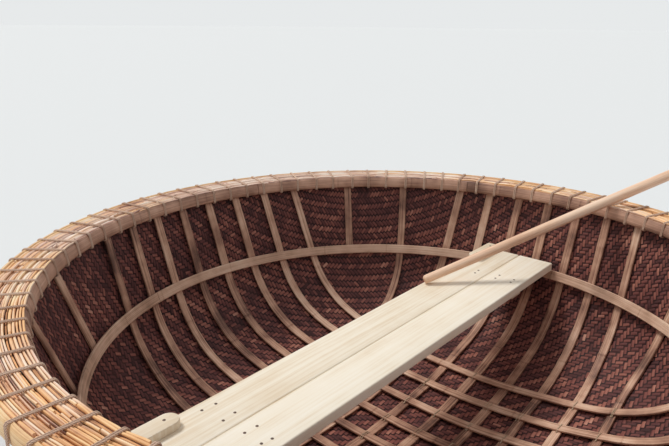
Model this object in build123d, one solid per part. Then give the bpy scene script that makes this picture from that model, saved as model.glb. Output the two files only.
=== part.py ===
from build123d import *
import math
import os

# Round woven basket boat, in millimetres, +Z up. The origin is on the hull's axis at the waterline
# of the empty boat, so the lowest point of the skin is at z = -draft.

# Hull
hull_depth = 600.0         # from the underside of the skin to the top of the rim
draft = 88.0               # depth of the empty boat in the water
mouth_radius = 945.0       # outside of the skin, carried up to the top of the rim
wall_flare = 20.0          # degrees from upright
bilge_radius = 360.0
floor_radius = 2200.0      # the floor is a shallow dome
floor_flat = 130.0         # radius of its flat middle
skin_thickness = 6.0
floor_runs = 2             # straight runs that stand for the arc of the floor, and of the bilge
bilge_runs = 3
flats = 52                 # the hull and its hoops are turned in this many flats

# Lattice of bent laths inside the skin
rib_thickness = 8.0
rib_width = 29.0
rib_pitch = 112.0
along_shift = -20.0        # sideways shift of the laths that run along X, which lie on top
across_shift = 22.0        # sideways shift of the laths that run along Y, next to the skin
along_places = (-3, -2, -1, 0, 1, 2, 3, 4)
across_places = (-4, -3, -2, -1, 0, 1, 2, 3, 4)
fan_start = 700.0          # radius where the outermost laths along Y leave their line
fan_end = 820.0            # radius from which they run straight outward
corner_angles = (220.5, 322.5, 138.0, 40.0)  # short laths in the corners that the lattice leaves
corner_reach = 12.0        # how far they reach below the waist hoop

# Rim
rim_height = 45.0
inner_hoop_height = 43.0
inner_hoop_foot = 12.0     # width of its bottom edge
inner_hoop_top = 12.5      # width of its top edge
inner_hoop_lean = 8.0      # the inner face leans in by this much at the bottom
outer_hoop_width = 13.5
hoop_bevel = 4.0
lath_count = 13
lath_width = 6.34
lath_height = 10.0
lath_step = 2.0            # every second lath lies this much lower

# Cord lashings round the rim
lashing_count = 80
cord_width = 8.0
cord_thickness = 4.0

# Waist hoop and thwart
waist_top = 256.0          # below the top of the rim
waist_width = 28.0
waist_thickness = 10.0
thwart_left = -150.0
thwart_right = 100.0
thwart_thickness = 28.0
thwart_end_gap = 6.0       # between the corners of the boards and the laths
board_gap = 2.0
edge_round = 4.0
batten_inset = 248.0       # from the ends of the boards to the middle of a batten
batten_width = 60.0
batten_thickness = 22.0
batten_end = 15.0          # how far a batten stops short of the edges
cleat_width = 48.0
cleat_thickness = 20.0
cleat_length = 168.0

# Paddle, resting on the thwart and over the rim
shaft_radius = 17.0
shaft_length = 940.0
blade_length = 300.0
blade_width = 115.0
blade_thickness = 11.0
paddle_rest = (-138.0, 350.0)    # where its inner end lies on the thwart
paddle_heading = 52.5            # degrees, seen from above

clearance = 0.3

rim_top = hull_depth - draft
flare = math.radians(wall_flare)


def bowl_arcs():
    """The floor's arc and the bilge's arc: centre, radius, and the angles where each starts and ends."""
    floor_centre = (0.0, floor_radius - draft)
    base = (mouth_radius - bilge_radius * math.cos(flare), rim_top + bilge_radius * math.sin(flare))
    # Slide the bilge centre down beside the wall until its arc meets the arc of the floor.
    side, rise = base[0], base[1] - floor_centre[1]
    half = rise * math.cos(flare) + side * math.sin(flare)
    rest = side ** 2 + rise ** 2 - (floor_radius - bilge_radius) ** 2
    slide = half + math.sqrt(half ** 2 - rest)
    bilge_centre = (base[0] - slide * math.sin(flare), base[1] - slide * math.cos(flare))
    turn = math.atan2(bilge_centre[0], floor_centre[1] - bilge_centre[1])
    return ((floor_centre, floor_radius, math.asin(floor_flat / floor_radius), turn, floor_runs),
            (bilge_centre, bilge_radius, turn, math.pi / 2 - flare, bilge_runs))


def wall_radius(inset, z):
    """Radius of the straight wall at height z, inset from the outside of the skin."""
    return mouth_radius - (rim_top - z) * math.tan(flare) - inset / math.cos(flare)


def bowl_line(inset, top):
    """Section of the bowl from its middle up to the height top, as radii and heights."""
    line = [(0, inset - draft), (floor_flat, inset - draft)]
    for (x, z), radius, start, end, runs in bowl_arcs():
        for n in range(1, runs + 1):
            angle = start + (end - start) * n / runs
            line.append((x + (radius - inset) * math.sin(angle), z - (radius - inset) * math.cos(angle)))
    return line + [(wall_radius(inset, top), top)]


def bowl_radius(inset, z):
    """Radius of the bowl at height z, on its wall or its bilge."""
    line = bowl_line(inset, rim_top)
    low, high = next((low, high) for low, high in zip(line, line[1:]) if z <= high[1] and high[1] > low[1])
    return low[0] + (high[0] - low[0]) * (z - low[1]) / (high[1] - low[1])


def turned(section):
    """A body turned in flats round the Z axis, from a closed section of radii and heights."""
    corners = [math.tau * n / flats for n in range(flats + 1)]

    def face(points):
        places = [(radius * math.cos(angle), radius * math.sin(angle), z) for (radius, z), angle in points]
        return Face(Wire.make_polygon(places))

    faces = []
    for low, high in zip(section, section[1:] + section[:1]):
        if low[0] and high[0]:
            for left, right in zip(corners, corners[1:]):
                faces.append(face([(low, left), (low, right), (high, right), (high, left)]))
        elif low[0] or high[0]:
            faces.append(face([(max(low, high), angle) for angle in corners[:-1]]))
    return Solid(Shell(faces))


def shell(outside, inside, top):
    return turned(bowl_line(outside, top) + bowl_line(inside, top)[::-1])


def bevelled(section, corners):
    """A section with a bevel in place of each of these corners."""
    points = []
    for n, corner in enumerate(section):
        if corner not in corners:
            points.append(corner)
            continue
        for other in (section[n - 1], section[(n + 1) % len(section)]):
            share = hoop_bevel / math.dist(corner, other)
            points.append((corner[0] + share * (other[0] - corner[0]), corner[1] + share * (other[1] - corner[1])))
    return points


def save(shape, name):
    shape.label = name
    export_step(shape, f"parts/{name}.step")


os.makedirs("parts", exist_ok=True)

# Woven skin
lath_bottom = rim_top - lath_height
skin_top = lath_bottom - clearance
save(shell(0, skin_thickness, skin_top), "hull_skin")

# Laths: those along Y lie on the skin, and those along X on top of them
under_out = skin_thickness + clearance
under_in = under_out + rib_thickness
over_out = under_in + clearance
over_in = over_out + rib_thickness
under_layer = shell(under_out, under_in, skin_top)
over_layer = shell(over_out, over_in, skin_top)


def lath(layer, line, width):
    """A lath cut from a layer, along a line seen from above."""
    strip = trace(Polyline(*line), line_width=width)
    return layer & extrude(Pos(0, 0, -draft) * strip, hull_depth)


def polar(radius, angle):
    return (radius * math.cos(angle), radius * math.sin(angle))


def narrowed(place):
    return rib_width * math.sqrt(1 - (place / mouth_radius) ** 2)


for number, place in enumerate(along_places, 3):
    y = along_shift + rib_pitch * place
    line = [(-mouth_radius, y), (mouth_radius, y)]
    save(lath(over_layer, line, narrowed(y)), f"rib_along_{number:02d}")
for number, place in enumerate(across_places, 3):
    x = across_shift + rib_pitch * place
    line = [(x, -mouth_radius), (x, mouth_radius)]
    if place in (across_places[0], across_places[-1]):
        # The ends of the outermost laths fan out, and go up the wall without a slant.
        bend = math.sqrt(fan_start ** 2 - x ** 2)
        angle = math.acos(2 * x / (fan_start + fan_end))
        line = [(x, bend), polar(fan_end, angle), polar(mouth_radius, angle)]
        line = [(x, -y) for x, y in reversed(line)] + line
    save(lath(under_layer, line, narrowed(x)), f"rib_across_{number:02d}")

# Short laths in the four corners, from the rim to just under the waist hoop
waist_head = rim_top - waist_top
waist_foot = waist_head - waist_width
corner_end = bowl_radius(under_in, waist_foot - corner_reach)
for number, degrees in zip((1, 2, 11, 12), corner_angles):
    angle = math.radians(degrees)
    line = [polar(corner_end, angle), polar(mouth_radius, angle)]
    save(lath(under_layer, line, rib_width), f"rib_along_{number:02d}")

# Inner hoop: upright at the top of its back, and shaved to the slope of the laths below
hoop_foot = rim_top - inner_hoop_height
slope_radius = wall_radius(over_in + clearance, hoop_foot)
face_foot = (slope_radius - inner_hoop_foot, hoop_foot)
face_top = (face_foot[0] + inner_hoop_lean, rim_top)
rim_inner_radius = face_top[0]
hoop_back = rim_inner_radius + inner_hoop_top
slope_top = hoop_foot + (hoop_back - slope_radius) / math.tan(flare)
section = [face_top, face_foot, (slope_radius, hoop_foot), (hoop_back, slope_top), (hoop_back, rim_top)]
save(turned(bevelled(section, (face_top, face_foot))), "inner_hoop")

# Band of concentric laths over the rim, every second one lower
band_inner = hoop_back + clearance
band_outer = band_inner + lath_count * lath_width
band = [(band_outer, lath_bottom), (band_inner, lath_bottom)]
for n in range(lath_count):
    height = rim_top - (lath_step if n % 2 else 0)
    band += [(band_inner + n * lath_width, height), (band_inner + (n + 1) * lath_width, height)]
save(turned(band), "rim_laths")
outer_hoop_inner = band_outer + clearance
rim_outer_radius = outer_hoop_inner + outer_hoop_width

# Core hoop under the laths, between the skin and the outer hoop
rim_foot = rim_top - rim_height
core_top = skin_top
section = [(wall_radius(-clearance, core_top), core_top), (wall_radius(-clearance, rim_foot), rim_foot),
           (band_outer, rim_foot), (band_outer, core_top)]
save(turned(section), "rim_core")

# Outer hoop
section = [(outer_hoop_inner, rim_top), (outer_hoop_inner, rim_foot), (rim_outer_radius, rim_foot),
           (rim_outer_radius, rim_top)]
save(turned(bevelled(section, section[2:])), "outer_hoop")

# Cord lashings: each goes over the rim, down both faces and under them to the wall
near = clearance
far = clearance + cord_thickness
flat_middle = math.cos(math.pi / flats)    # share of its ends' radius at which the middle of a flat lies
head_in = rim_inner_radius * flat_middle
foot_in = (rim_inner_radius - inner_hoop_lean) * flat_middle
hook_end = wall_radius(over_in + clearance, hoop_foot - far) * flat_middle
turn_end = wall_radius(-clearance, rim_foot - near)
loop = make_face(Polyline(
    (hook_end, hoop_foot - near),
    (foot_in - near, hoop_foot - near),
    (head_in - near, rim_top + near),
    (rim_outer_radius + near, rim_top + near),
    (rim_outer_radius + near, rim_foot - near),
    (turn_end, rim_foot - near),
    (turn_end, rim_foot - far),
    (rim_outer_radius + far, rim_foot - far),
    (rim_outer_radius + far, rim_top + far),
    (head_in - far, rim_top + far),
    (foot_in - far, hoop_foot - far),
    (hook_end, hoop_foot - far),
    close=True))
lashing = extrude(Plane.XZ * loop, cord_width / 2, both=True)
save(Compound([Rot(Z=360 / lashing_count * (n + 0.5)) * lashing for n in range(lashing_count)]), "rim_lashings")

# Waist hoop, lying on the laths
waist_out = over_in + clearance
waist_in = waist_out + waist_thickness
section = [(bowl_radius(waist_out, waist_head), waist_head), (bowl_radius(waist_in, waist_head), waist_head),
           (bowl_radius(waist_in, waist_foot), waist_foot), (bowl_radius(waist_out, waist_foot), waist_foot)]
save(turned(section), "waist_hoop")

# Thwart boards on the waist hoop, with battens under them and a cleat along the left edge
board_foot = waist_head + clearance
board_head = board_foot + thwart_thickness
corner_radius = bowl_radius(over_in, board_foot) - thwart_end_gap
corner_side = max(abs(thwart_left), abs(thwart_right))
thwart_reach = math.sqrt(corner_radius ** 2 - corner_side ** 2)
board_width = (thwart_right - thwart_left - board_gap) / 2


def plank(x_low, x_high, y_low, y_high, z_low, z_high):
    size = (x_high - x_low, y_high - y_low, z_high - z_low)
    middle = ((x_low + x_high) / 2, (y_low + y_high) / 2, (z_low + z_high) / 2)
    return Pos(*middle) * Box(*size)


def board(x_low, x_high):
    block = plank(x_low, x_high, -thwart_reach, thwart_reach, board_foot, board_head)
    long_edges = block.edges().filter_by(Axis.Y).group_by(Axis.Z)[-1]
    return fillet(long_edges, edge_round)


save(board(thwart_left, thwart_left + board_width), "thwart_board_left")
save(board(thwart_right - board_width, thwart_right), "thwart_board_right")

batten_head = board_foot
for side, name in ((-1, "near"), (1, "far")):
    middle = side * (thwart_reach - batten_inset)
    save(plank(thwart_left + batten_end, thwart_right - batten_end, middle - batten_width / 2,
               middle + batten_width / 2, batten_head - batten_thickness, batten_head), f"thwart_batten_{name}")

    cleat_tip = thwart_reach - cleat_length + cleat_width / 2
    cleat_side = thwart_left + cleat_width / 2
    flat = Rectangle(cleat_width, thwart_reach - cleat_tip)
    flat = Pos(cleat_side, side * (thwart_reach + cleat_tip) / 2) * flat + Pos(cleat_side, side * cleat_tip) * Circle(
        cleat_width / 2)
    cleat = extrude(Pos(0, 0, board_head) * flat, cleat_thickness)
    save(cleat, f"thwart_cleat_{name}")

# Paddle: a round shaft that runs into a flat, bevelled blade
heading = math.radians(paddle_heading)
rim_contact = (head_in - far, rim_top + far + clearance)
side_step = paddle_rest[0] * math.sin(heading) - paddle_rest[1] * math.cos(heading)
start_along = paddle_rest[0] * math.cos(heading) + paddle_rest[1] * math.sin(heading)
run = math.sqrt(rim_contact[0] ** 2 - side_step ** 2) - start_along
climb = math.atan2(rim_contact[1] - board_head - clearance, run)
shaft = Cylinder(shaft_radius, shaft_length, align=(Align.CENTER, Align.CENTER, Align.MIN))
blade_outline = make_face(Polyline(
    (-shaft_radius, 0), (shaft_radius, 0), (blade_width / 2, blade_length * 0.4),
    (blade_width / 2, blade_length), (-blade_width / 2, blade_length), (-blade_width / 2, blade_length * 0.4),
    close=True))
blade_outline = fillet(blade_outline.vertices().group_by(Axis.Y)[-1], blade_width * 0.35)
blade_outline = fillet(blade_outline.vertices().group_by(Axis.Y)[1], blade_width * 0.6)
blade = extrude(Plane.YZ * blade_outline, blade_thickness / 2, both=True)
paddle = shaft + Pos(0, 0, shaft_length - shaft_radius) * blade
resting_edge = Pos(*paddle_rest, board_head + clearance)
sloped = Rot(Z=paddle_heading) * Rot(Y=90 - math.degrees(climb))
save(resting_edge * sloped * Pos(X=-shaft_radius) * paddle, "paddle")
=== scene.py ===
import math

import bpy
import numpy as np
from mathutils import Matrix, Vector


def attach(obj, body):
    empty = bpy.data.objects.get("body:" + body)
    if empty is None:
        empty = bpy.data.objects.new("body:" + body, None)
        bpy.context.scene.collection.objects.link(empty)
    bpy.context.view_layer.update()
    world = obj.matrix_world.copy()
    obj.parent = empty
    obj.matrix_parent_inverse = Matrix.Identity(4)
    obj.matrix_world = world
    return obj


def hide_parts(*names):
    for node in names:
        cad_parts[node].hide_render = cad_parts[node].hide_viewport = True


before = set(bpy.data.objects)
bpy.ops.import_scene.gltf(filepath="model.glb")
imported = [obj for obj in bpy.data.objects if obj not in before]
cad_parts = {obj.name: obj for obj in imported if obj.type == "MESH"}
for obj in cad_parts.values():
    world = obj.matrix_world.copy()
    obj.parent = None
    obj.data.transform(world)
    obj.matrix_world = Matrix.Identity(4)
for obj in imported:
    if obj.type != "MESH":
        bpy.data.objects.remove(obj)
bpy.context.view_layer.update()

random = np.random.default_rng(7)
TURN = 2 * math.pi
UP = np.array([0, 0, 1.0])

# Sizes of the boat as in the solids, in metres and radians. Heights count from the waterline.

RIM_TOP = 0.512
DRAFT = 0.088
FLARE = math.radians(20.0)  # of the wall
MOUTH = 0.945  # radius of the skin's outside at the rim's top
BILGE = 0.360  # radius of the bend between wall and floor
FLOOR = 2.200  # radius of the domed floor
SKIN = 0.006
GAP = 0.0003  # between pieces that lie on each other
RIB = 0.008  # thickness of a lath
RIB_WIDTH = 0.029
UNDER = SKIN + GAP + RIB / 2  # insets from the bowl's outside: middles of the laths' layers, and their face
OVER = SKIN + 2 * GAP + 1.5 * RIB
RIB_FACE = SKIN + 2 * GAP + 2 * RIB
RIM_INNER = 0.901
RIM_OUTER = 1.010
LATH_BOTTOM = RIM_TOP - 0.010
HOOP_FOOT = RIM_TOP - 0.043
RIM_FOOT = RIM_TOP - 0.045
BAND_INNER = 0.9138  # the band of splints between the hoops
BAND_OUTER = 0.9962
LASHINGS = 80
WAIST_TOP = RIM_TOP - 0.256
WAIST_FOOT = WAIST_TOP - 0.028
ALONG = [-0.020 + 0.112 * n for n in range(-3, 5)]
ACROSS = [0.022 + 0.112 * n for n in range(-4, 5)]
FAN_START, FAN_END = 0.700, 0.820  # radii between which the outermost laths across fan out
CORNERS = (220.5, 322.5, 138.0, 40.0)  # headings of the short laths, in degrees
THWART = (-0.150, 0.100)
THWART_REACH = 0.808
BOARD = 0.028  # thickness of a board
BOARD_FOOT = WAIST_TOP + GAP
BOARD_HEAD = BOARD_FOOT + BOARD
CLEAT = (0.024, 0.168, 0.020)  # half width, length and height
PADDLE_REST = (-0.138, 0.350)
PADDLE_HEADING = math.radians(52.5)
SHAFT = 0.017
SHAFT_LENGTH = 0.940
BLADE = (0.300, 0.115, 0.011)
FACETS = 52  # flats round the boat in the solids

# Sizes that only the visual model has

PITCH = 0.0112  # of the weave
STRIP = 0.0106  # width of its strips
RESIN = (0.0022, 0.0038)  # insets of the resin shell's two faces
WEAVE_LIFT = np.array([0.0011, 0.0019, 0.0011, -0.0011, -0.0019, -0.0011])  # over three, under three
WAIST_SECTION = (0.010, 0.033, 0.0026)  # thickness, width and bevel of the waist hoop
SPLINTS = 14
BUNDLE_INNER = 0.9424  # radii of the bundle under the band, and of the wedge's face behind it
WEDGE_FACE = 0.9416
TIE = 0.0011  # radii of twine and cord
CORD = 0.0020
KNOT = 0.003  # half length of a bamboo node


# Shape of the bowl

def bowl_profile():
    """The bowl's outside, from its middle up the wall: length along it, radius, height and inward normal."""
    floor_z = FLOOR - DRAFT
    base = np.array([MOUTH - BILGE * math.cos(FLARE), RIM_TOP + BILGE * math.sin(FLARE)])
    rise = base[1] - floor_z
    half = rise * math.cos(FLARE) + base[0] * math.sin(FLARE)
    slide = half + math.sqrt(half ** 2 - base[0] ** 2 - rise ** 2 + (FLOOR - BILGE) ** 2)
    centre = base - slide * np.array([math.sin(FLARE), math.cos(FLARE)])
    turn = math.atan2(centre[0], floor_z - centre[1])
    rows = []
    for angle in np.linspace(0, turn, 40):
        rows.append((FLOOR * angle, FLOOR * math.sin(angle), floor_z - FLOOR * math.cos(angle),
                     -math.sin(angle), math.cos(angle)))
    start = FLOOR * turn
    for angle in np.linspace(turn, math.pi / 2 - FLARE, 40)[1:]:
        rows.append((start + BILGE * (angle - turn), centre[0] + BILGE * math.sin(angle),
                     centre[1] - BILGE * math.cos(angle), -math.sin(angle), math.cos(angle)))
    length, radius, height = rows[-1][:3]
    for step in np.linspace(0, 1, 12)[1:]:
        z = height + step * (RIM_TOP - height)
        rows.append((length + (z - height) / math.cos(FLARE), radius + (z - height) * math.tan(FLARE), z,
                     -math.cos(FLARE), math.sin(FLARE)))
    return np.array(rows)


PROFILE = bowl_profile()


def on_profile(length, inset):
    """Radius, height and normal of the bowl at a length along it."""
    r, z, nr, nz = (np.interp(length, PROFILE[:, 0], PROFILE[:, k]) for k in (1, 2, 3, 4))
    return r + inset * nr, z + inset * nz, nr, nz


def length_at(radius, inset):
    """Length along the bowl where its inset surface has this radius."""
    return np.interp(radius, PROFILE[:, 1] + inset * PROFILE[:, 3], PROFILE[:, 0])


def length_up_to(height, inset):
    """Length along the bowl where its inset surface has this height."""
    return np.interp(height, PROFILE[:, 2] + inset * PROFILE[:, 4], PROFILE[:, 0])


def wall_radius(inset, z):
    return MOUTH - (RIM_TOP - z) * math.tan(FLARE) - inset / math.cos(FLARE)


SKIN_TOP = float(length_up_to(LATH_BOTTOM - GAP, SKIN / 2))


# Meshes

def unit(vectors):
    return vectors / np.linalg.norm(vectors, axis=-1, keepdims=True)


def lengths_along(points):
    """Length from the first point of a line to each of its points."""
    return np.concatenate([[0], np.cumsum(np.linalg.norm(np.diff(points, axis=0), axis=1))])


def circle(count):
    """Angles of this many points round a circle."""
    return np.linspace(0, TURN, count + 1)[:-1]


def on_circle(count):
    angles = circle(count)
    return np.column_stack([np.cos(angles), np.sin(angles)])


def repeated(section, count):
    """A section given once for each of count places, so that it can change along a path."""
    return np.tile(np.array(section, float), (count, 1, 1))


class Strips:
    """Collects swept strips in one mesh, with metres along and across in its UVs and a tone for each."""

    def __init__(self):
        self.verts, self.faces, self.uvs, self.tones = [], [], [], []
        self.count = 0

    def grid(self, points, tone, around=False, closed=False, start=0.0, flip=False):
        """A grid of points, n along by m across. around joins its sides and turns its faces outward,
        closed joins its ends, and flip turns the faces of an open sheet."""
        n, m = points.shape[:2]
        along = lengths_along(points[:, 0]) + start
        across = lengths_along(points[0])
        side = np.linalg.norm(points[0, -1] - points[0, 0])
        end = np.linalg.norm(points[-1, 0] - points[0, 0])
        rows = np.arange(n if closed else n - 1)
        cols = np.arange(m if around else m - 1)
        i, j = (a.ravel() for a in np.meshgrid(rows, cols, indexing="ij"))
        i1, j1 = (i + 1) % n, (j + 1) % m
        quads = np.stack([i * m + j, i * m + j1, i1 * m + j1, i1 * m + j], 1)
        u0, u1 = along[i], np.where(i + 1 < n, along[i1], along[-1] + end)
        v0, v1 = across[j], np.where(j + 1 < m, across[j1], across[-1] + side)
        uv = np.stack([u0, v0, u0, v1, u1, v1, u1, v0], 1).reshape(-1, 4, 2)
        if around:
            corners = points.reshape(-1, 3)[quads]
            normals = np.cross(corners[:, 2] - corners[:, 0], corners[:, 3] - corners[:, 1])
            flip = (normals * (corners.mean(1) - points.mean(1)[i])).sum() < 0
        if flip:
            quads, uv = quads[:, [0, 3, 2, 1]], uv[:, [0, 3, 2, 1]]
        self.verts.append(points.reshape(-1, 3))
        self.faces.extend(map(tuple, (quads + self.count).tolist()))
        self.uvs.append(uv.reshape(-1, 2))
        self.tones.append(np.broadcast_to(tone, (n, m)).ravel())
        if around and not closed:
            self.caps(n, m, flip, along)
        self.count += n * m

    def caps(self, n, m, flip, along):
        """Closes both ends of a swept section."""
        first = [self.count + k for k in range(m)]
        last = [self.count + (n - 1) * m + k for k in reversed(range(m))]
        for ring, u in ((first, along[0]), (last, along[-1])):
            self.faces.append(tuple(ring if flip else reversed(ring)))
            self.uvs.append(np.column_stack([np.full(m, u), np.linspace(0, 0.01, m)]))

    def sweep(self, path, across, up, section, tone, closed=False, start=0.0):
        """A closed section, given across and up, carried along a path."""
        section = np.asarray(section, float)
        if section.ndim == 2:
            section = repeated(section, len(path))
        points = path[:, None] + section[:, :, :1] * across[:, None] + section[:, :, 1:] * up[:, None]
        self.grid(points, tone, around=True, closed=closed, start=start)

    def build(self, name, body, material, slot, replaces, sharp=50):
        """Makes the mesh a piece of a body. Its edges sharper than so many degrees stay crisp."""
        mesh = bpy.data.meshes.new(name)
        mesh.from_pydata(np.concatenate(self.verts).tolist(), [], self.faces)
        layer = mesh.uv_layers.new(name="fibre")
        layer.data.foreach_set("uv", np.concatenate(self.uvs).ravel().astype(np.float32))
        tone = mesh.attributes.new("tone", "FLOAT", "POINT")
        tone.data.foreach_set("value", np.concatenate(self.tones).astype(np.float32))
        mesh.shade_smooth()
        mesh.set_sharp_from_angle(angle=math.radians(sharp))
        mesh.materials.append(material)
        piece = bpy.data.objects.new(name, mesh)
        bpy.context.scene.collection.objects.link(piece)
        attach(piece, body)
        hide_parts(*replaces)


def ring_frame(angles, radius, height):
    """Path round the boat, with its outward and upward directions."""
    out = np.stack([np.cos(angles), np.sin(angles), np.zeros_like(angles)], 1)
    up = np.tile(UP, (len(angles), 1))
    return out * np.reshape(radius, (-1, 1)) + up * np.reshape(height, (-1, 1)), out, up


def rounded_box(width, height, bevel):
    """Section of a lath: width across, height up, its lower corners cut and its upper ones rounded."""
    w, h, b, soft = width / 2, height / 2, bevel, bevel * 0.3
    return [(-w, -h + b), (-w + b, -h), (w - b, -h), (w, -h + b), (w, h - b), (w - soft, h - soft),
            (w - b, h), (-w + b, h), (-w + soft, h - soft), (-w, h - b)]


def wobble(places, size, waves, seed):
    """Smooth variation of up to this size. Whole numbers of waves close round the boat."""
    picker = np.random.default_rng(seed)
    total = np.zeros_like(places)
    for wave in waves:
        total += np.sin(places * wave + picker.uniform(0, TURN)) * picker.uniform(0.4, 1.0)
    return size * total / len(waves)


def fresh_seed():
    return int(random.integers(1e6))


# Nodes of the materials

def new_material(name):
    material = bpy.data.materials.new(name)
    material.use_nodes = True
    tree = material.node_tree
    return material, tree, tree.nodes["Principled BSDF"]


def add(tree, kind, **settings):
    node = tree.nodes.new(kind)
    for key, value in settings.items():
        if key in node.inputs:
            node.inputs[key].default_value = value
        else:
            setattr(node, key, value)
    return node


def ramp(tree, factor, stops):
    """Display colours out of 255 at places along a factor, as the renderer's linear ones."""
    node = tree.nodes.new("ShaderNodeValToRGB")
    while len(node.color_ramp.elements) < len(stops):
        node.color_ramp.elements.new(0.5)
    for element, (place, colour) in zip(node.color_ramp.elements, stops):
        element.position = place
        element.color = (*((part / 255) ** 2.2 for part in colour), 1)
    tree.links.new(factor, node.inputs["Fac"])
    return node.outputs["Color"]


def maths(tree, operation, a, b=0):
    node = tree.nodes.new("ShaderNodeMath")
    node.operation = operation
    for socket, value in zip(node.inputs, (a, b)):
        if isinstance(value, (int, float)):
            socket.default_value = value
        else:
            tree.links.new(value, socket)
    return node.outputs[0]


def plus_share(tree, total, layer, share):
    """The total and a share of a layer."""
    return maths(tree, "ADD", total, maths(tree, "MULTIPLY", layer, share))


def plus_noise(tree, total, layer, share):
    """The total and a share of a noise, which adds as much as it takes away."""
    return plus_share(tree, total, maths(tree, "SUBTRACT", layer, 0.5), share)


def noise(tree, vector, scale=1.0, detail=3.0, stretch=(1, 1)):
    """Noise on a place by scale, or on the fibre by stretch along and across it."""
    mapping = tree.nodes.new("ShaderNodeMapping")
    mapping.inputs["Scale"].default_value = (*stretch, 1)
    tree.links.new(vector, mapping.inputs["Vector"])
    node = add(tree, "ShaderNodeTexNoise", Scale=scale, Detail=detail, Roughness=0.55)
    tree.links.new(mapping.outputs[0], node.inputs["Vector"])
    return node.outputs["Fac"]


def fibre_uv(tree):
    node = tree.nodes.new("ShaderNodeUVMap")
    node.uv_map = "fibre"
    return node.outputs[0]


def tone_of(tree):
    node = tree.nodes.new("ShaderNodeAttribute")
    node.attribute_name = "tone"
    return node.outputs["Fac"]


def object_place(tree):
    return tree.nodes.new("ShaderNodeTexCoord").outputs["Object"]


def parts_of(tree, vector):
    node = tree.nodes.new("ShaderNodeSeparateXYZ")
    tree.links.new(vector, node.inputs[0])
    return node.outputs


def bump(tree, height, distance, under=None):
    node = add(tree, "ShaderNodeBump", Strength=1.0, Distance=distance)
    tree.links.new(height, node.inputs["Height"])
    if under is not None:
        tree.links.new(under, node.inputs["Normal"])
    return node.outputs["Normal"]


def set_surface(tree, shader, colour, roughness, normal):
    tree.links.new(colour, shader.inputs["Base Color"])
    tree.links.new(normal, shader.inputs["Normal"])
    shader.inputs["Roughness"].default_value = roughness


# Materials

def strip_edges(tree, uv, width):
    """0 in the middle of a strip of this width, and 1 at its edges."""
    over = maths(tree, "MULTIPLY", parts_of(tree, uv)[1], 2 / width)
    off_middle = maths(tree, "ABSOLUTE", maths(tree, "SUBTRACT", over, 1))
    return maths(tree, "POWER", off_middle, 2.5)


def golden_share(tree, uv, place):
    """Share of the golden colour, which comes in stretches, more of them on one side of the boat."""
    long_ones = noise(tree, uv, detail=2.0, stretch=(2.2, 75))
    stretches = maths(tree, "ADD", long_ones, noise(tree, place, scale=1.7, detail=2.0))
    side = add(tree, "ShaderNodeVectorMath", operation="DOT_PRODUCT")
    side.inputs[1].default_value = (0.16, -0.12, 0)
    tree.links.new(place, side.inputs[0])
    share = add(tree, "ShaderNodeMapRange", **{"From Min": 0.915, "From Max": 1.155})
    tree.links.new(maths(tree, "ADD", stretches, side.outputs["Value"]), share.inputs["Value"])
    return share.outputs[0]


def mix_colours(tree, share, first, second):
    mix = add(tree, "ShaderNodeMix", data_type="RGBA")
    tree.links.new(share, mix.inputs["Factor"])
    tree.links.new(first, mix.inputs[6])
    tree.links.new(second, mix.inputs[7])
    return mix.outputs[2]


def bamboo(name, stops, roughness, tone_share, streak, patch, depth=0.0006, width=None, golden=None):
    """Split bamboo: streaks along the fibre, a tone for each strip, and slow patches. Strips of a given
    width have rounded edges, darkened with painted shade. Golden stops colour some stretches of it."""
    material, tree, shader = new_material(name)
    uv, place = fibre_uv(tree), object_place(tree)
    fine = noise(tree, uv, detail=4.0, stretch=(5, 420))
    coarse = noise(tree, uv, detail=2.0, stretch=(1.6, 120))
    patches = noise(tree, place, scale=9.0)
    total = maths(tree, "MULTIPLY", tone_of(tree), tone_share)
    for layer, share in ((fine, streak), (coarse, streak * 0.6), (patches, patch)):
        total = plus_noise(tree, total, layer, share * 2)
    total = maths(tree, "ADD", total, (1 - tone_share) / 2)
    rounded = None
    if width:
        edges = strip_edges(tree, uv, width)
        # Painted shade: the colour darkens towards the strip's rounded edges.
        total = plus_share(tree, total, edges, -0.20)
        rounded = bump(tree, maths(tree, "SUBTRACT", 1, edges), 0.0012)
    colour = ramp(tree, total, stops)
    if golden:
        colour = mix_colours(tree, golden_share(tree, uv, place), colour, ramp(tree, total, golden))
    relief = bump(tree, maths(tree, "ADD", fine, coarse), depth, under=rounded)
    set_surface(tree, shader, colour, roughness, relief)
    return material


def resin_material():
    material, tree, shader = new_material("resin")
    place = object_place(tree)
    patches = noise(tree, place, scale=26.0, detail=4.0)
    colour = ramp(tree, patches, [(0.3, (34, 22, 24)), (0.6, (62, 38, 36)), (0.8, (92, 56, 46))])
    set_surface(tree, shader, colour, 0.55, bump(tree, noise(tree, place, scale=240.0), 0.0008))
    return material


def cord_material(name, dark, middle, light, turn, across=0.0072):
    """Twisted cord with loose hairs. Its strands slant: they repeat after one turn along it, and after
    this length across it."""
    material, tree, shader = new_material(name)
    uv = fibre_uv(tree)
    parts = parts_of(tree, uv)
    slant = plus_share(tree, maths(tree, "MULTIPLY", parts[0], TURN / turn), parts[1], TURN / across)
    strands = maths(tree, "ABSOLUTE", maths(tree, "SINE", slant))
    hairs = noise(tree, uv, stretch=(120, 900))
    # Darker in the grooves between the strands: painted shade. The hairs and the tone are the cord's own
    # colour.
    shade = plus_share(tree, maths(tree, "MULTIPLY", strands, 0.35), hairs, 0.5)
    shade = plus_share(tree, shade, tone_of(tree), 0.3)
    colour = ramp(tree, shade, [(0.25, dark), (0.6, middle), (0.95, light)])
    set_surface(tree, shader, colour, 0.8, bump(tree, plus_share(tree, strands, hairs, 0.4), 0.001))
    return material


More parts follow.
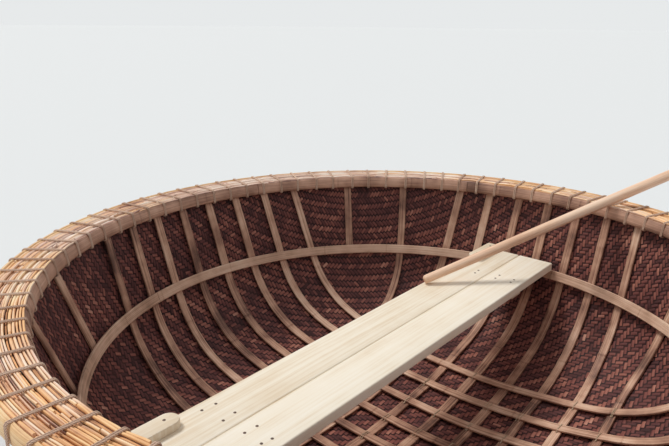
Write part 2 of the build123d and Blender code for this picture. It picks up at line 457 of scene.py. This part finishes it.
def wood_material(name, stops, roughness, contrast=1.0):
    """Sawn wood: long grain with a few darker bands, a tone for each board, and soiled patches."""
    material, tree, shader = new_material(name)
    uv, place = fibre_uv(tree), object_place(tree)
    grain = noise(tree, uv, detail=5.0, stretch=(2.2, 90))
    fine = noise(tree, uv, stretch=(12, 700))
    patches = noise(tree, place, scale=6.0, detail=4.0)
    total = maths(tree, "MULTIPLY", tone_of(tree), 0.4)
    for layer, share in ((grain, 0.9 * contrast), (fine, 0.35 * contrast), (patches, 0.5)):
        total = plus_noise(tree, total, layer, share)
    colour = ramp(tree, maths(tree, "ADD", total, 0.3), stops)
    set_surface(tree, shader, colour, roughness, bump(tree, maths(tree, "ADD", grain, fine), 0.0005))
    return material


GREYED = [(0.0, (104, 78, 76)), (0.14, (162, 129, 122)), (0.30, (210, 171, 154)),
          (0.52, (237, 201, 180)), (0.78, (248, 223, 204)), (1.0, (252, 239, 226))]
GOLDEN = [(0.0, (98, 64, 46)), (0.14, (160, 110, 76)), (0.30, (216, 158, 108)),
          (0.52, (243, 188, 132)), (0.78, (249, 207, 155)), (1.0, (252, 224, 180))]
rim_bamboo = bamboo("rim_bamboo", GREYED, roughness=0.65, tone_share=0.75, streak=0.5, patch=0.66,
                    golden=GOLDEN)
outer_bamboo = bamboo("outer_bamboo", [(0.0, (112, 80, 58)), (0.30, (206, 158, 112)),
                                       (0.6, (238, 196, 144)), (1.0, (248, 220, 178))],
                      roughness=0.55, tone_share=0.4, streak=0.6, patch=0.8, depth=0.0012)
hoop_bamboo = bamboo("hoop_bamboo", [(0.0, (106, 76, 64)), (0.35, (162, 122, 102)),
                                     (0.65, (202, 158, 134)), (1.0, (226, 188, 162))],
                     roughness=0.65, tone_share=0.4, streak=0.5, patch=0.7)
lath_bamboo = bamboo("lath_bamboo", [(0.0, (92, 62, 50)), (0.3, (152, 110, 90)),
                                     (0.65, (198, 154, 128)), (1.0, (226, 190, 164))],
                     roughness=0.6, tone_share=0.5, streak=0.75, patch=0.9)
waist_bamboo = bamboo("waist_bamboo", [(0.0, (120, 92, 76)), (0.35, (174, 136, 112)),
                                       (0.65, (212, 172, 146)), (1.0, (232, 200, 174))],
                      roughness=0.6, tone_share=0.4, streak=0.5, patch=0.7)
weave_bamboo = bamboo("weave_bamboo", [(0.0, (66, 42, 42)), (0.3, (98, 60, 58)), (0.55, (131, 80, 72)),
                                       (0.78, (166, 110, 95)), (1.0, (204, 152, 132))],
                      roughness=0.62, tone_share=0.8, streak=0.2, patch=0.4, depth=0.0004, width=STRIP)
resin = resin_material()
for dull in (weave_bamboo, resin):
    dull.node_tree.nodes["Principled BSDF"].inputs["Specular IOR Level"].default_value = 0.2
cord = cord_material("twisted_cord", (150, 117, 98), (211, 175, 151), (237, 209, 187), turn=0.0090)
twine = cord_material("pale_twine", (160, 130, 104), (208, 180, 148), (232, 212, 186), turn=0.0040)
board_wood = wood_material("pale_board", [(0.0, (184, 154, 120)), (0.35, (228, 208, 180)),
                                          (0.6, (242, 230, 210)), (1.0, (250, 243, 230))], 0.6)
paddle_wood = wood_material("paddle_wood", [(0.0, (160, 112, 88)), (0.3, (216, 168, 136)),
                                            (0.6, (240, 202, 172)), (1.0, (250, 226, 204))],
                            0.5, contrast=1.7)
nail_iron = wood_material("nail_iron", [(0.0, (60, 46, 40)), (1.0, (120, 92, 74))], 0.5)


# Woven skin: a thin resin shell with split strips woven through it, over three and under three

def on_bowl(u, v, inset, lift):
    """A flat sheet's point (u, v) laid into the bowl, lifted inward from the inset surface."""
    angle = np.arctan2(v, u)
    r, z, nr, nz = on_profile(np.hypot(u, v), inset)
    r, z = r + lift * nr, z + lift * nz
    return np.stack([r * np.cos(angle), r * np.sin(angle), z], -1)


def skin_shell():
    lengths = np.linspace(0.002, SKIN_TOP, 70)
    outer, inner = (np.column_stack(on_profile(lengths, inset)[:2]) for inset in RESIN)
    loop = np.concatenate([outer, inner[::-1]])
    round_it = on_circle(180)
    points = np.stack([np.outer(round_it[:, 0], loop[:, 0]), np.outer(round_it[:, 1], loop[:, 0]),
                       np.outer(np.ones(180), loop[:, 1])], -1)
    shell = Strips()
    shell.grid(points, 0.5, around=True, closed=True)
    shell.build("skin_resin", "boat", resin, "woven_skin", ["hull_skin"])


def skin_weave(name, turned, low, high):
    """One family of split strips, with tones from low to high, over and under those of the other."""
    half = int(SKIN_TOP / PITCH)
    strips = Strips()
    for i in range(-half, half + 1):
        side = i * PITCH + random.normal(0, 0.0004)
        reach = math.sqrt(max(SKIN_TOP ** 2 - side ** 2, 0))
        count = int(reach / PITCH)
        if count < 2:
            continue
        j = np.arange(-count, count + 1)
        phase = j - i if turned else i - j
        lift = WEAVE_LIFT[phase % 6] * (-1 if turned else 1)
        along = j * PITCH
        drift = wobble(along, 0.0011, (9, 17, 31), 3000 + 2 * i + turned)
        rows = []
        for edge in (-STRIP / 2, STRIP / 2):
            beside = side + edge + drift
            flat = (beside, along) if turned else (along, beside)
            rows.append(on_bowl(*flat, SKIN / 2, lift))
        run = phase // 3 - (phase // 3).min()
        floats = random.normal(0, 0.13, run.max() + 1)[run]
        tone = random.uniform(low, high) + floats
        strips.grid(np.stack(rows, 1), tone[:, None], start=random.uniform(0, 5), flip=not turned)
    strips.build(name, "boat", weave_bamboo, "woven_skin", ["hull_skin"], sharp=80)


# Lattice of bent laths

def knots_between(low, high, spacing, seed):
    """Places of the bamboo's nodes."""
    picker = np.random.default_rng(seed)
    places = []
    place = low + picker.uniform(0.1, 1.0) * spacing
    while place < high:
        places.append(place)
        place += spacing * picker.uniform(0.75, 1.25)
    return np.array(places)


def with_knots(samples, knots):
    """Samples along a piece, with closer ones at its nodes."""
    near = [knots + step * KNOT for step in (-2, -1, 0, 1, 2)]
    return np.unique(np.concatenate([samples, *near]))


def knot_swell(places, knots):
    """1 at a node, and 0 away from it."""
    if not len(knots):
        return np.zeros_like(places)
    nearest = np.abs(places[:, None] - knots[None]).min(1)
    return np.exp(-(nearest / KNOT) ** 2)


def rounded_path(corners, radius, step):
    """A line through corners, rounded at them, with points no further apart than a step."""
    corners = [np.array(corner, float) for corner in corners]
    points = [corners[0]]
    for before, corner, after in zip(corners, corners[1:], corners[2:]):
        cut = min(radius, np.linalg.norm(before - corner) / 2.1, np.linalg.norm(after - corner) / 2.1)
        a, b = corner + unit(before - corner) * cut, corner + unit(after - corner) * cut
        for share in (0, 0.25, 0.5, 0.75, 1):
            points.append((1 - share) ** 2 * a + 2 * share * (1 - share) * corner + share ** 2 * b)
    points = np.array(points + [corners[-1]])
    length = lengths_along(points)
    keep = np.unique(np.concatenate([length, np.arange(0, length[-1], step)]))
    keep = keep[np.concatenate([[True], np.diff(keep) > 0.0008])]
    return np.column_stack([np.interp(keep, length, points[:, k]) for k in range(points.shape[1])])


def on_wall(plan, inset):
    """Points seen from above, laid on the bowl's inset surface, with its inward normal there."""
    radius = np.hypot(plan[:, 0], plan[:, 1])
    r, z, nr, nz = on_profile(length_at(radius, inset), inset)
    direction = plan / radius[:, None]
    return np.column_stack([direction * r[:, None], z]), np.column_stack([direction * nr[:, None], nz])


def sideways(path, up):
    return unit(np.cross(unit(np.gradient(path, axis=0)), up))


def bent_lath(strips, corners, inset, width, seed):
    """A lath through corners seen from above: a little crooked, uneven in width, with nodes."""
    picker = np.random.default_rng(seed)
    plan = rounded_path(corners, 0.09, 0.014)
    length = lengths_along(plan)
    knots = knots_between(0.05, length[-1] - 0.05, 0.26, seed)
    places = with_knots(length, knots)
    plan = np.column_stack([np.interp(places, length, plan[:, k]) for k in (0, 1)])
    aside = np.gradient(plan, axis=0)[:, ::-1] * (-1, 1)
    plan += unit(aside) * wobble(places, 0.0034, (6, 11, 19), seed + 1000)[:, None]
    path, up = on_wall(plan, inset)
    swell = knot_swell(places, knots)
    section = repeated(rounded_box(width, RIB, 0.0022), len(places))
    for sign in (-1, 1):
        edge = section[0, :, 0] * sign > 0
        uneven = wobble(places, 0.10, (8, 27, 71, 133), seed + 2000 + sign)
        section[:, edge, 0] *= (picker.uniform(0.93, 1.04) + uneven)[:, None]
    section[:, 4:, 1] += (swell * 0.0013)[:, None]
    tone = picker.uniform(0.15, 0.85) - 0.4 * swell
    strips.sweep(path, sideways(path, up), up, section, tone[:, None], start=picker.uniform(0, 3))


def narrowed(place):
    """Width of a lath, which is less for the short ones at the sides."""
    return RIB_WIDTH * math.sqrt(1 - (place / MOUTH) ** 2)


def lattice():
    under, over = Strips(), Strips()
    top = wall_radius(UNDER, LATH_BOTTOM - GAP)
    for n, x in enumerate(ACROSS):
        line = [(x, math.sqrt(top ** 2 - x ** 2))]
        if n in (0, len(ACROSS) - 1):
            angle = math.acos(2 * x / (FAN_START + FAN_END))
            line = [(x, math.sqrt(FAN_START ** 2 - x ** 2))]
            line += [(radius * math.cos(angle), radius * math.sin(angle)) for radius in (FAN_END, top)]
        bent_lath(under, [(x, -y) for x, y in reversed(line)] + line, UNDER, narrowed(x), 100 + n)
    low = wall_radius(UNDER, WAIST_FOOT - 0.012)
    for n, degrees in enumerate(CORNERS):
        angle = math.radians(degrees)
        line = [(radius * math.cos(angle), radius * math.sin(angle)) for radius in (low, top)]
        bent_lath(under, line, UNDER, RIB_WIDTH, 150 + n)
    top = wall_radius(OVER, LATH_BOTTOM - GAP)
    for n, y in enumerate(ALONG):
        reach = math.sqrt(top ** 2 - y ** 2)
        bent_lath(over, [(-reach, y), (reach, y)], OVER, narrowed(y), 200 + n)
    across_names = [f"rib_across_{n:02d}" for n in range(3, 12)]
    corner_names = [f"rib_along_{n:02d}" for n in (1, 2, 11, 12)]
    along_names = [f"rib_along_{n:02d}" for n in range(3, 11)]
    under.build("laths_across", "boat", lath_bamboo, "lath_bamboo", across_names + corner_names, sharp=20)
    over.build("laths_along", "boat", lath_bamboo, "lath_bamboo", along_names, sharp=20)


def lattice_ties():
    """Thin pale twine tied over the upper laths where they cross the lower ones."""
    strips = Strips()
    low, high = SKIN + 2 * GAP + RIB + 0.0012, RIB_FACE + 0.0011
    section = on_circle(5) * TIE
    for y in ALONG:
        half = narrowed(y) / 2
        rise = ((half + 0.006, low), (half + 0.001, low + 0.003), (half - 0.003, high))
        shape = [(-reach, inset) for reach, inset in rise] + [(0, high)] + list(reversed(rise))
        for x in ACROSS:
            if math.hypot(x, y) > 0.80 or random.random() < 0.25:
                continue
            for side in (-1, 1):
                middle = x + random.normal(0, 0.003) + side * 0.0013
                rows = [on_wall(np.array([(middle + reach * 0.12, y + reach)]), inset)
                        for reach, inset in shape]
                path, up = (np.concatenate(parts) for parts in zip(*rows))
                strips.sweep(path, sideways(path, up), up, section, random.uniform(0.3, 1.0),
                             start=random.uniform(0, 1))
    strips.build("lattice_ties", "boat", twine, "cord", ["rim_lashings"])


# Rim

def pull(angles):
    """How near an angle is to a lashing: 1 under it, 0 midway."""
    phase = angles / TURN * LASHINGS - 0.5
    return (0.5 + 0.5 * np.cos(TURN * phase)) ** 4


def arcs(pieces, seed, joint=0.0015, radius=0.95):
    """Splits the circle into arcs with small joints, at places of their own."""
    picker = np.random.default_rng(seed)
    cuts = (np.arange(pieces) + picker.uniform(-0.35, 0.35, pieces) + picker.uniform(0, 1)) * TURN / pieces
    for low, high in zip(cuts, np.append(cuts[1:], cuts[0] + TURN)):
        yield low + joint / radius, high - joint / radius


def steps_between(low, high, step):
    """Angles along an arc, about a step apart, and at least six of them."""
    return np.linspace(low, high, max(int((high - low) / step), 6))


def rim_splints():
    """The band of splints on the rim. Some lie lower, with wider gaps and a darker tone that is partly
    painted shade and partly dirt.
    """
    strips = Strips()
    widths = random.uniform(0.65, 1.4, SPLINTS)
    shares = np.concatenate([[0], np.cumsum(widths)]) / widths.sum()
    edges = np.concatenate([[RIM_INNER + 0.0008, RIM_INNER + 0.0070],
                            BAND_INNER + shares * (BAND_OUTER - BAND_INNER)])
    for n in range(len(edges) - 1):
        bottom = RIM_TOP - 0.0055 if n < 2 else LATH_BOTTOM
        for low, high in arcs(int(random.integers(10, 19)), 30 + n, joint=0.0026):
            angles = steps_between(low, high, 0.0131)
            sunk = random.random() < 0.27
            gap = random.uniform(0.0009, 0.0027) + 0.0008 * sunk
            width = edges[n + 1] - edges[n] - gap
            middle = (edges[n] + edges[n + 1]) / 2 + wobble(angles, 0.0008, (17, 29, 43), fresh_seed())
            drop = random.uniform(-0.0012, 0.0026) + 0.0034 * sunk
            to_end = np.minimum(angles - low, high - angles) * 0.95
            ends = np.exp(-(to_end / 0.02) ** 2) * random.normal(0, 0.0018)
            top = RIM_TOP - drop - 0.0020 * pull(angles) + ends
            height = top + wobble(angles, 0.0011, (21, 37, 60, 97), fresh_seed()) - bottom
            path, out, up = ring_frame(angles, middle, bottom + height / 2)
            section = repeated(rounded_box(width, 0.005, min(0.0022, width * 0.36)), len(angles))
            section[:, :, 0] *= 1 + wobble(angles, 0.16, (33, 57, 81), fresh_seed())[:, None]
            section[:, :, 1] += np.sign(section[:, :, 1]) * (height / 2 - 0.0025)[:, None]
            # Sunk splints get a darker tone: partly painted shade for their lower place, and partly dirt.
            tone = random.uniform(0.05, 0.5) if sunk else random.uniform(0.45, 1.0)
            strips.sweep(path, out, up, section, tone, start=random.uniform(0, 9))
    strips.build("rim_splints", "boat", rim_bamboo, "rim_bamboo", ["rim_laths"])


def rim_bundle():
    """The splints under the laths, which show from below, and the wedge between them and the skin."""
    strips = Strips()
    edges = np.linspace(BUNDLE_INNER, BAND_OUTER, 9)
    for n, (left, right) in enumerate(zip(edges, edges[1:])):
        for low, high in arcs(4, 60 + n):
            angles = steps_between(low, high, 0.035)
            bottom = RIM_FOOT + random.uniform(0, 0.0015)
            height = LATH_BOTTOM - GAP - bottom
            path, out, up = ring_frame(angles, (left + right) / 2, bottom + height / 2)
            section = rounded_box(right - left - 0.0008, height, 0.0015)
            strips.sweep(path, out, up, section, random.uniform(0.1, 0.8), start=random.uniform(0, 9))
    foot, head = wall_radius(-GAP, RIM_FOOT), wall_radius(-GAP, LATH_BOTTOM - GAP)
    path, out, up = ring_frame(circle(240), foot, RIM_FOOT)
    face = WEDGE_FACE - foot
    wedge = [(0, 0), (face, 0), (face, 0.0334), (head - foot, 0.0347)]
    strips.sweep(path, out, up, wedge, 0.4, closed=True)
    strips.build("rim_bundle", "boat", rim_bamboo, "rim_bamboo", ["rim_core"])


def hoop_arcs(spacing, step, seed, radius=0.95):
    """The three lengths of a hoop: their angles, and their swell at the bamboo's nodes."""
    for low, high in arcs(3, seed, joint=0.001, radius=radius):
        knots = knots_between(low, high, spacing, seed + 1)
        inside = knots[(knots > low + 0.02) & (knots < high - 0.02)]
        angles = with_knots(steps_between(low, high, step), inside)
        yield angles, knot_swell(angles, knots)


def half_round(width, height):
    """Nearly flat on its inner side, rounded on its outer side."""
    points = [(0, height / 2 - 0.004), (0, -height / 2 + 0.004)]
    for angle in np.linspace(-math.pi / 2, math.pi / 2, 11):
        points.append((width * (0.25 + 0.75 * math.cos(angle) ** 0.6), height / 2 * math.sin(angle)))
    return points


def outer_hoop():
    strips = Strips()
    width = 0.0135
    for angles, swell in hoop_arcs(0.34, 0.0125, 90):
        path, out, up = ring_frame(angles, RIM_OUTER - width, (RIM_TOP + RIM_FOOT) / 2)
        section = repeated(half_round(width, 0.047), len(angles))
        squeeze = 1.10 - 0.24 * pull(angles) + 0.08 * swell + wobble(angles, 0.04, (13, 31, 47), 92)
        section[:, :, 0] *= squeeze[:, None]
        section[:, :, 1] *= (1 - 0.02 * pull(angles))[:, None]
        tone = random.uniform(0.4, 0.8) - 0.4 * swell
        strips.sweep(path, out, up, section, tone[:, None], start=random.uniform(0, 9))
    strips.build("outer_hoop_bamboo", "boat", outer_bamboo, "rim_bamboo", ["outer_hoop"])


def inner_hoop():
    strips = Strips()
    back = BAND_INNER - GAP - RIM_INNER
    slope = wall_radius(RIB_FACE + GAP, HOOP_FOOT) - RIM_INNER
    shape = [(-0.0006, -0.008), (-0.0035, -0.014), (-0.0072, -0.026), (-0.0082, -0.037),
             (-0.0062, -0.0415), (-0.002, -0.043), (slope, -0.043), (back, -0.0197), (back, -0.0062),
             (0.0085, -0.0058), (0.0042, -0.0056), (0.0010, -0.0058)]
    for angles, swell in hoop_arcs(0.36, 0.0125, 120, radius=0.9):
        path, out, up = ring_frame(angles, RIM_INNER, RIM_TOP)
        section = repeated(shape, len(angles))
        shift = 0.0010 * pull(angles) - 0.0012 * swell + wobble(angles, 0.0010, (11, 23, 39), 122)
        section[:, [0, 1, 2, 3, 4, 11], 0] += shift[:, None]
        tone = random.uniform(0.3, 0.7) - 0.4 * swell
        strips.sweep(path, out, up, section[:, ::-1], tone[:, None], start=random.uniform(0, 9))
    strips.build("inner_hoop_bamboo", "boat", hoop_bamboo, "hoop_bamboo", ["inner_hoop"])


def rim_lashings():
    """Pairs of cords round the rim, from the skin inside over the top to the skin outside."""
    strips = Strips()
    near = GAP + CORD
    corners = [(0.9025, HOOP_FOOT - near), (RIM_INNER - 0.008 - near, HOOP_FOOT - near),
               (RIM_INNER - near, RIM_TOP + near - 0.002), (RIM_OUTER + near - 0.001, RIM_TOP + near - 0.001),
               (RIM_OUTER + near, RIM_FOOT - near), (wall_radius(-0.001, RIM_FOOT), RIM_FOOT - near)]
    line = rounded_path(corners, 0.007, 0.012)
    section = on_circle(6) * CORD
    for n in range(LASHINGS):
        angle = (n + 0.5) * TURN / LASHINGS + random.normal(0, 0.0016)
        slant = random.normal(0, 0.0022) * (line[:, 0] - 0.955) / 0.055
        wave = 0.0004 * np.sin(line[:, 0] * 150 + n)
        tone = random.uniform(0.2, 1.0)
        out = np.array([math.cos(angle), math.sin(angle), 0])
        along = np.array([-math.sin(angle), math.cos(angle), 0])
        for side in (-1, 1):
            beside = side * CORD * random.uniform(0.98, 1.2) + slant + wave
            path = line[:, :1] * out + beside[:, None] * along + line[:, 1:] * UP
            tangent = unit(np.gradient(path, axis=0))
            up = unit(np.cross(np.broadcast_to(along, tangent.shape), tangent))
            strips.sweep(path, unit(np.cross(tangent, up)), up, section, tone, start=random.uniform(0, 1))
    strips.build("lashing_cords", "boat", cord, "cord", ["rim_lashings"])


def waist_hoop():
    """The hoop that lies on the laths and leans with the wall, with its top edge under the boards."""
    strips = Strips()
    middle_z = WAIST_TOP - 0.0164
    middle_r = wall_radius(RIB_FACE + GAP + WAIST_SECTION[0] / 2, middle_z)
    for angles, swell in hoop_arcs(0.40, 0.02, 150, radius=0.82):
        path, out, up = ring_frame(angles, middle_r, middle_z)
        lean_out = out * math.cos(FLARE) - up * math.sin(FLARE)
        lean_up = out * math.sin(FLARE) + up * math.cos(FLARE)
        section = repeated(rounded_box(*WAIST_SECTION), len(angles))
        section[:, [0, 8, 9], 0] -= (0.0012 * swell)[:, None]
        tone = random.uniform(0.6, 0.95) - 0.4 * swell
        strips.sweep(path, lean_out, lean_up, section, tone[:, None], start=random.uniform(0, 9))
    strips.build("waist_hoop_bamboo", "boat", waist_bamboo, "lath_bamboo", ["waist_hoop"], sharp=20)


# Thwart

def board_section(width, height, top_edge, bottom_edge=0.0012):
    """Section of a board, centred, with its top edges rounded and its bottom edges only broken."""
    w, h, b = width / 2, height / 2, bottom_edge
    points = [(-w, -h + b), (-w + b, -h), (w - b, -h), (w, -h + b)]
    for sign, turn in ((1, (0, 30, 60, 90)), (-1, (90, 60, 30, 0))):
        for angle in np.radians(turn):
            points.append((sign * (w - top_edge + top_edge * math.cos(angle)),
                           h - top_edge + top_edge * math.sin(angle)))
    return points


def beam(name, middle, along, across, size, edge, tone):
    """A sawn piece centred on middle, of length, width and height, a little wavy along its length."""
    length, width, height = size
    end, eased = length / 2, 0.0015
    s = np.sort(np.concatenate([np.linspace(-end, end, 26), [-end + eased, end - eased]]))
    section = repeated(board_section(width, height, edge), len(s))
    section[[0, -1]] *= 1 - 2 * eased / np.array([width, height])
    section[1:-1, :, 0] += (0.0004 * np.sin(s[1:-1] * 11 + tone * 9))[:, None]
    path = np.array(middle) + s[:, None] * np.array(along)
    across, up = (np.tile(line, (len(s), 1)) for line in (across, np.cross(along, across)))
    strips = Strips()
    strips.sweep(path, across, up, section, tone, start=random.uniform(0, 9))
    strips.build(name, "boat", board_wood, "pale_board", ["thwart_" + name], sharp=40)


def cleat(name, side):
    """A flat block on the boards at an end of the thwart, round at its inner end, with its edges eased."""
    half, length, height = CLEAT
    turns = np.linspace(0, math.pi, 17)
    tip = THWART_REACH - length + half
    plan = np.concatenate([[(half, side * THWART_REACH)],
                           np.column_stack([half * np.cos(turns), side * (tip - half * np.sin(turns))]),
                           [(-half, side * THWART_REACH)]])
    centre = np.array([0, side * (THWART_REACH - length / 2)])
    levels = []
    for z, inset in ((0, 0.0006), (0.0008, 0), (0.0172, 0), (0.0191, 0.0008), (height, 0.0028)):
        shrink = 1 - inset / np.array([half, length / 2])
        outline = centre + (plan - centre) * shrink
        levels.append(np.column_stack([outline, np.full(len(plan), BOARD_HEAD + z)]))
    points = np.stack(levels) + np.array([THWART[0] + half, 0, 0])
    block = Strips()
    block.grid(points if side < 0 else points[:, ::-1], 0.4, around=True)
    block.build(name, "boat", board_wood, "pale_board", ["thwart_" + name], sharp=40)


def thwart():
    width = (THWART[1] - THWART[0] - 0.002) / 2
    for name, x, tone in (("board_left", THWART[0] + width / 2, 0.55),
                          ("board_right", THWART[1] - width / 2, 0.8)):
        beam(name, (x, 0, BOARD_FOOT + BOARD / 2), (0, 1, 0), (-1, 0, 0),
             (2 * THWART_REACH, width, BOARD), 0.004, tone)
    for side, name in ((-1, "near"), (1, "far")):
        beam("batten_" + name, (-0.025, side * 0.560, BOARD_FOOT - 0.011), (1, 0, 0), (0, 1, 0),
             (0.220, 0.060, 0.022), 0.002, 0.3)
        cleat("cleat_" + name, side)


def nail_heads():
    """Flat nail heads where the boards lie on the battens, and along the cleats."""
    strips = Strips()
    head = on_circle(12)
    places = [(x, side * y, BOARD_HEAD) for side in (-1, 1) for y in (0.545, 0.576)
              for x in (-0.118, -0.060, 0.008, 0.066)]
    places += [(-0.126, side * y, BOARD_HEAD + CLEAT[2]) for side in (-1, 1) for y in (0.680, 0.770)]
    for x, y, z in places:
        middle = np.array([x + random.normal(0, 0.003), y + random.normal(0, 0.003)])
        levels = [np.column_stack([middle + radius * head, np.full(12, z + lift)])
                  for radius, lift in ((0.0036, -0.0004), (0.0036, 0.0004), (0.0028, 0.0009))]
        strips.grid(np.stack(levels), random.uniform(0, 1), around=True)
    strips.build("nail_heads", "boat", nail_iron, "pale_board", ["thwart_board_left"], sharp=40)


# Paddle

def paddle():
    """A round shaft with an eased end, slimmer there, drawn out into a thin blade."""
    contact = (RIM_INNER * math.cos(math.pi / FACETS) - 0.0043, RIM_TOP + 0.0046)
    heading = np.array([math.cos(PADDLE_HEADING), math.sin(PADDLE_HEADING)])
    aside = PADDLE_REST[0] * heading[1] - PADDLE_REST[1] * heading[0]
    run = math.sqrt(contact[0] ** 2 - aside ** 2) - float(np.dot(PADDLE_REST, heading))
    climb = math.atan2(contact[1] - BOARD_HEAD - GAP, run)
    along = np.array([*heading * math.cos(climb), math.sin(climb)])
    up = np.array([*-heading * math.sin(climb), math.cos(climb)])
    across = np.cross(up, along)
    start = np.array([*PADDLE_REST, BOARD_HEAD + GAP]) + up * SHAFT
    blade_length, blade_width, blade_thickness = BLADE
    neck = SHAFT_LENGTH - SHAFT
    end = neck + blade_length
    tip = 0.040
    places = np.concatenate([[0, 0.001, 0.003, 0.006, 0.010], np.linspace(0.02, neck - 0.04, 40),
                             np.linspace(neck - 0.03, end - 0.045, 34),
                             end - tip * (1 - np.sin(np.linspace(0.1, 1.5, 12)))])
    turns = circle(24)
    rows = []
    for s in places:
        slim = 0.0030 * max(1 - s / 0.60, 0)
        width = height = (SHAFT - slim) * (1 - 0.35 * max(1 - s / 0.010, 0) ** 2.5)
        share = min(max((s - neck + 0.02) / 0.150, 0), 1)
        share = share * share * (3 - 2 * share)
        width += (blade_width / 2 - SHAFT) * share
        height += (blade_thickness / 2 - SHAFT) * min(share * 1.5, 1)
        left = (end - s) / tip
        if left < 1:
            width -= tip * (1 - math.sqrt(max(1 - (1 - left) ** 2, 0)))
        power = 1 - 0.35 * share
        section = np.column_stack([width * np.cos(turns),
                                   height * np.sign(np.sin(turns)) * np.abs(np.sin(turns)) ** power])
        rows.append(start + s * along + section[:, :1] * across + (section[:, 1:] - slim) * up)
    strips = Strips()
    strips.grid(np.stack(rows)[:, ::-1], 0.6, around=True)
    strips.build("paddle_wooden", "paddle", paddle_wood, "paddle_wood", ["paddle"], sharp=45)


# Water level, light and camera

def floor_at_waterline():
    """A pale sheet round the boat at the height of the water."""
    water_radius = float(np.interp(0.0, PROFILE[:, 2], PROFILE[:, 1])) - 0.003
    rings = [np.column_stack([radius * on_circle(180), np.zeros(180)])
             for radius in (water_radius, 1.5, 6.0, 80.0)]
    sheet = Strips()
    sheet.grid(np.stack(rings, 1), 0.5, closed=True, flip=True)
    mesh = bpy.data.meshes.new("floor")
    mesh.from_pydata(np.concatenate(sheet.verts).tolist(), [], sheet.faces)
    floor = bpy.data.objects.new("floor", mesh)
    bpy.context.scene.collection.objects.link(floor)
    material, _, shader = new_material("floor")
    shader.inputs["Base Color"].default_value = (0.76, 0.779, 0.788, 1)
    shader.inputs["Roughness"].default_value = 0.9
    mesh.materials.append(material)


def sun_and_sky():
    """A soft, high light from the left, and an even sky behind a pale backdrop."""
    data = bpy.data.lights.new("sun", "SUN")
    data.energy = 1.85
    data.angle = 0.30
    data.color = (1.0, 0.98, 0.94)
    light = bpy.data.objects.new("sun", data)
    light.rotation_euler = Vector((2.4, 0.5, -4.0)).to_track_quat("-Z", "Y").to_euler()
    bpy.context.scene.collection.objects.link(light)
    world = bpy.data.worlds.new("world")
    bpy.context.scene.world = world
    world.use_nodes = True
    tree = world.node_tree
    sky = tree.nodes["Background"]
    sky.inputs["Color"].default_value = (0.96, 0.98, 1.0, 1)
    sky.inputs["Strength"].default_value = 0.56
    backdrop = add(tree, "ShaderNodeBackground", Color=(0.80, 0.82, 0.825, 1), Strength=1.0)
    mix = tree.nodes.new("ShaderNodeMixShader")
    rays = tree.nodes.new("ShaderNodeLightPath").outputs
    shiny = maths(tree, "MAXIMUM", rays["Is Glossy Ray"], rays["Is Transmission Ray"])
    tree.links.new(maths(tree, "MAXIMUM", rays["Is Camera Ray"], shiny), mix.inputs["Fac"])
    tree.links.new(sky.outputs[0], mix.inputs[1])
    tree.links.new(backdrop.outputs[0], mix.inputs[2])
    tree.links.new(mix.outputs[0], tree.nodes["World Output"].inputs["Surface"])


def camera():
    """The photograph's view, with a focal length of 650 pixels in a width of 669."""
    yaw, pitch, roll = math.radians(-40.0), math.radians(17.6), math.radians(0.5)
    forward = Vector((math.sin(yaw) * math.cos(pitch), math.cos(yaw) * math.cos(pitch), -math.sin(pitch)))
    level = Vector((math.cos(yaw), -math.sin(yaw), 0))
    upright = level.cross(forward)
    right = math.cos(roll) * level + math.sin(roll) * upright
    up = math.cos(roll) * upright - math.sin(roll) * level
    data = bpy.data.cameras.new("camera")
    data.sensor_fit = "HORIZONTAL"
    data.sensor_width = 36
    data.lens = data.sensor_width * 650 / 669
    data.clip_end = 200
    view = bpy.data.objects.new("camera", data)
    place = Vector((0.894, -1.342, RIM_TOP + 0.599))
    rotation = Matrix((right, up, -forward)).transposed().to_4x4()
    view.matrix_world = Matrix.Translation(place) @ rotation
    bpy.context.scene.collection.objects.link(view)
    bpy.context.scene.camera = view


skin_shell()
skin_weave("skin_weave_along", False, 0.19, 0.49)
skin_weave("skin_weave_across", True, 0.34, 0.70)
lattice()
lattice_ties()
rim_splints()
rim_bundle()
outer_hoop()
inner_hoop()
rim_lashings()
waist_hoop()
thwart()
nail_heads()
paddle()
floor_at_waterline()
sun_and_sky()
camera()
bpy.context.scene.view_settings.view_transform = "Standard"
